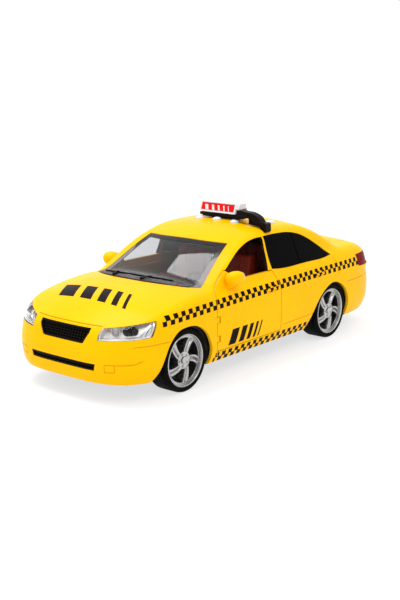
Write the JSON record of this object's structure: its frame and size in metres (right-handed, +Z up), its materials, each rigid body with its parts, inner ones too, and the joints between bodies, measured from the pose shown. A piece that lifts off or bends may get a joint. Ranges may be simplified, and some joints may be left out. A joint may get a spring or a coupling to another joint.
{
  "type": "friction toy car",
  "caption": "Friction-drive toy saloon in yellow taxi livery with opening front doors, roof sign, push-buttons and a geared flywheel motor.",
  "frame": {"origin": "centre of the car's bounding box on the ground, under the tyres", "axes": "+X towards the nose, +Y towards the car's left side, +Z up"},
  "size_m": [0.2832, 0.1196, 0.0987],
  "materials": {
    "body_yellow": "smooth moulded yellow plastic, glossy",
    "clear_glass": "clear moulded plastic, polished, black printed border on the windscreen",
    "black_glass": "opaque high-gloss black window moulding",
    "black_plastic": "satin black moulded plastic",
    "chrome": "vacuum-metallised reflector",
    "red_lens": "dark red lamp moulding, glossy",
    "white_plastic": "white moulded plastic",
    "red_panel": "printed red panel",
    "board_green": "solder-resist green board",
    "chassis_black": "fine spark-eroded black plastic",
    "steel": "bright steel",
    "speaker_metal": "stamped metal frame",
    "silver_rim": "silver-plated plastic wheel",
    "tyre_rubber": "soft black vinyl tyre",
    "gear_plastic": "natural acetal",
    "gearbox_grey": "grey moulded plastic",
    "seat_red": "orange-red moulded plastic"
  },
  "bodies": {
    "car_body": {"body_shell": "body_yellow", "left_door_hinge_pin": "steel", "right_door_hinge_pin": "steel", "windscreen": "clear_glass", "rear_screen": "black_glass", "left_rear_side_glass": "black_glass", "right_rear_side_glass": "black_glass", "wiper_cowl": "black_plastic", "grille": "black_plastic", "lower_intake": "black_plastic", "left_headlamp_lens": "clear_glass", "right_headlamp_lens": "clear_glass", "left_headlamp_reflector": "chrome", "right_headlamp_reflector": "chrome", "left_tail_lamp": "red_lens", "right_tail_lamp": "red_lens", "roof_bar": "black_plastic", "sign_housing": "white_plastic", "sign_front_panel": "red_panel", "sign_rear_panel": "red_panel", "circuit_board": "board_green", "chassis": "chassis_black", "chassis_screw_1": "steel", "chassis_screw_2": "steel", "battery_cover": "chassis_black", "battery_cover_screw": "steel", "button_cell_1": "steel", "button_cell_2": "steel", "button_cell_3": "steel", "speaker": "speaker_metal", "compound_gear_pin": "steel", "gearbox_left": "gearbox_grey", "gearbox_right": "gearbox_grey", "cabin_tray": "chassis_black", "left_front_seat": "seat_red", "right_front_seat": "seat_red", "rear_bench": "seat_red", "dashboard": "chassis_black", "steering_wheel": "black_plastic"},
    "rear_axle_assembly": {"rear_axle": "steel", "rear_left_rim": "silver_rim", "rear_right_rim": "silver_rim", "rear_left_tyre": "tyre_rubber", "rear_right_tyre": "tyre_rubber", "axle_gear": "gear_plastic"},
    "front_axle_assembly": {"front_axle": "steel", "front_left_rim": "silver_rim", "front_right_rim": "silver_rim", "front_left_tyre": "tyre_rubber", "front_right_tyre": "tyre_rubber"},
    "compound": {"compound_gear": "gear_plastic"},
    "flywheel_body": {"flywheel": "steel"},
    "left_door": {"left_front_door": "body_yellow", "left_mirror": "body_yellow"},
    "right_door": {"right_front_door": "body_yellow", "right_mirror": "body_yellow"},
    "button_1": {"sound_button_1": "white_plastic"},
    "button_2": {"sound_button_2": "white_plastic"},
    "button_3": {"sound_button_3": "white_plastic"},
    "button_4": {"sound_button_4": "white_plastic"}
  },
  "joints": [
    {"name": "rear_axle_spin", "type": "hinge", "parent": "car_body", "child": "rear_axle_assembly", "pos_m": [-0.0694, 0, 0.0194], "axis": [0, 1, 0], "continuous": true},
    {"name": "compound_gear_spin", "type": "hinge", "parent": "car_body", "child": "compound", "pos_m": [-0.0584, 0, 0.02575], "axis": [0, 1, 0], "continuous": true},
    {"name": "flywheel_spin", "type": "hinge", "parent": "car_body", "child": "flywheel_body", "pos_m": [-0.04648, 0, 0.02365], "axis": [0, 1, 0], "continuous": true},
    {"name": "front_axle_spin", "type": "hinge", "parent": "car_body", "child": "front_axle_assembly", "pos_m": [0.0906, 0, 0.0194], "axis": [0, 1, 0], "continuous": true},
    {"name": "left_door_hinge", "type": "hinge", "parent": "car_body", "child": "left_door", "pos_m": [0.0612, 0.0536, 0.032], "axis": [0, 0, -1], "range_deg": [0, 60]},
    {"name": "right_door_hinge", "type": "hinge", "parent": "car_body", "child": "right_door", "pos_m": [0.0612, -0.0536, 0.032], "axis": [0, 0, 1], "range_deg": [0, 60]},
    {"name": "sound_button_1_press", "type": "slide", "parent": "car_body", "child": "button_1", "axis": [0, 0, -1], "range_m": [0, 0.0012], "stiffness_N_per_m": 300},
    {"name": "sound_button_2_press", "type": "slide", "parent": "car_body", "child": "button_2", "axis": [0, 0, -1], "range_m": [0, 0.0012], "stiffness_N_per_m": 300},
    {"name": "sound_button_3_press", "type": "slide", "parent": "car_body", "child": "button_3", "axis": [0, 0, -1], "range_m": [0, 0.0012], "stiffness_N_per_m": 300},
    {"name": "sound_button_4_press", "type": "slide", "parent": "car_body", "child": "button_4", "axis": [0, 0, -1], "range_m": [0, 0.0012], "stiffness_N_per_m": 300}
  ],
  "couplings": [
    {"joint": "compound_gear_spin", "follows": "flywheel_spin", "ratio": -0.42857},
    {"joint": "rear_axle_spin", "follows": "flywheel_spin", "ratio": 0.17143}
  ]
}
